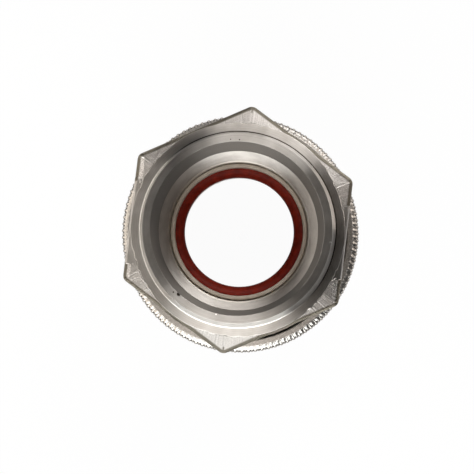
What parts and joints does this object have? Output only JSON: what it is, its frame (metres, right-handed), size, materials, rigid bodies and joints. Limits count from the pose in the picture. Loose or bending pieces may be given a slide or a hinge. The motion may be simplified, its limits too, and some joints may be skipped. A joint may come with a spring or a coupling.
{
  "type": "quick connect coupling",
  "caption": "Stainless quick connect coupling socket with hexagon, tube stub, knurled release sleeve, locking balls and a straight-through sealed bore.",
  "frame": {"origin": "centre of the plug end's face, on the axis of the bore", "axes": "+Z along the bore from the plug end to the hexagon end, +X through a corner of the hexagon"},
  "size_m": [0.0496, 0.0496, 0.0661],
  "materials": {
    "stainless_turned": "fine turned",
    "stainless_knurled": "diamond knurled",
    "stainless_washer": "stamped",
    "spring_wire": "drawn",
    "ball_steel": "polished",
    "seal_red": "matte",
    "seal_beige": "matte"
  },
  "bodies": {
    "socket_body": {"hex_adapter": "stainless_turned", "ball_cage": "stainless_turned", "bore_seal": "seal_red", "seal_ring": "seal_beige", "backup_ring": "seal_beige", "body_gasket": "seal_beige", "sleeve_spring": "spring_wire", "spring_seat": "stainless_washer", "snap_ring": "spring_wire"},
    "spring_follower": {"spring_follower": "stainless_washer"},
    "release_sleeve": {"release_sleeve": "stainless_knurled"},
    "locking_ball_01": {"locking_ball_01": "ball_steel"},
    "locking_ball_02": {"locking_ball_02": "ball_steel"},
    "locking_ball_03": {"locking_ball_03": "ball_steel"},
    "locking_ball_04": {"locking_ball_04": "ball_steel"},
    "locking_ball_05": {"locking_ball_05": "ball_steel"},
    "locking_ball_06": {"locking_ball_06": "ball_steel"},
    "locking_ball_07": {"locking_ball_07": "ball_steel"},
    "locking_ball_08": {"locking_ball_08": "ball_steel"},
    "locking_ball_09": {"locking_ball_09": "ball_steel"},
    "locking_ball_10": {"locking_ball_10": "ball_steel"},
    "locking_ball_11": {"locking_ball_11": "ball_steel"},
    "locking_ball_12": {"locking_ball_12": "ball_steel"}
  },
  "joints": [
    {"name": "sleeve_slide", "type": "slide", "parent": "socket_body", "child": "spring_follower", "axis": [0, 0, 1], "range_m": [0, 0.006], "stiffness_N_per_m": 2000, "springref_m": -0.008, "deforming": ["sleeve_spring"]},
    {"name": "sleeve_spin", "type": "hinge", "parent": "spring_follower", "child": "release_sleeve", "pos_m": [0, 0, 0.03316], "axis": [0, 0, 1], "continuous": true},
    {"name": "ball_01_slide", "type": "slide", "parent": "socket_body", "child": "locking_ball_01", "axis": [1, 0, 0], "range_m": [0, 0.0012]},
    {"name": "ball_02_slide", "type": "slide", "parent": "socket_body", "child": "locking_ball_02", "axis": [0.866, 0.5, 0], "range_m": [0, 0.0012]},
    {"name": "ball_03_slide", "type": "slide", "parent": "socket_body", "child": "locking_ball_03", "axis": [0.5, 0.866, 0], "range_m": [0, 0.0012]},
    {"name": "ball_04_slide", "type": "slide", "parent": "socket_body", "child": "locking_ball_04", "axis": [0, 1, 0], "range_m": [0, 0.0012]},
    {"name": "ball_05_slide", "type": "slide", "parent": "socket_body", "child": "locking_ball_05", "axis": [-0.5, 0.866, 0], "range_m": [0, 0.0012]},
    {"name": "ball_06_slide", "type": "slide", "parent": "socket_body", "child": "locking_ball_06", "axis": [-0.866, 0.5, 0], "range_m": [0, 0.0012]},
    {"name": "ball_07_slide", "type": "slide", "parent": "socket_body", "child": "locking_ball_07", "axis": [-1, 0, 0], "range_m": [0, 0.0012]},
    {"name": "ball_08_slide", "type": "slide", "parent": "socket_body", "child": "locking_ball_08", "axis": [-0.866, -0.5, 0], "range_m": [0, 0.0012]},
    {"name": "ball_09_slide", "type": "slide", "parent": "socket_body", "child": "locking_ball_09", "axis": [-0.5, -0.866, 0], "range_m": [0, 0.0012]},
    {"name": "ball_10_slide", "type": "slide", "parent": "socket_body", "child": "locking_ball_10", "axis": [0, -1, 0], "range_m": [0, 0.0012]},
    {"name": "ball_11_slide", "type": "slide", "parent": "socket_body", "child": "locking_ball_11", "axis": [0.5, -0.866, 0], "range_m": [0, 0.0012]},
    {"name": "ball_12_slide", "type": "slide", "parent": "socket_body", "child": "locking_ball_12", "axis": [0.866, -0.5, 0], "range_m": [0, 0.0012]}
  ],
  "couplings": [
    {"joint": "ball_01_slide", "follows": "sleeve_slide", "ratio": 0.2},
    {"joint": "ball_02_slide", "follows": "sleeve_slide", "ratio": 0.2},
    {"joint": "ball_03_slide", "follows": "sleeve_slide", "ratio": 0.2},
    {"joint": "ball_04_slide", "follows": "sleeve_slide", "ratio": 0.2},
    {"joint": "ball_05_slide", "follows": "sleeve_slide", "ratio": 0.2},
    {"joint": "ball_06_slide", "follows": "sleeve_slide", "ratio": 0.2},
    {"joint": "ball_07_slide", "follows": "sleeve_slide", "ratio": 0.2},
    {"joint": "ball_08_slide", "follows": "sleeve_slide", "ratio": 0.2},
    {"joint": "ball_09_slide", "follows": "sleeve_slide", "ratio": 0.2},
    {"joint": "ball_10_slide", "follows": "sleeve_slide", "ratio": 0.2},
    {"joint": "ball_11_slide", "follows": "sleeve_slide", "ratio": 0.2},
    {"joint": "ball_12_slide", "follows": "sleeve_slide", "ratio": 0.2}
  ]
}
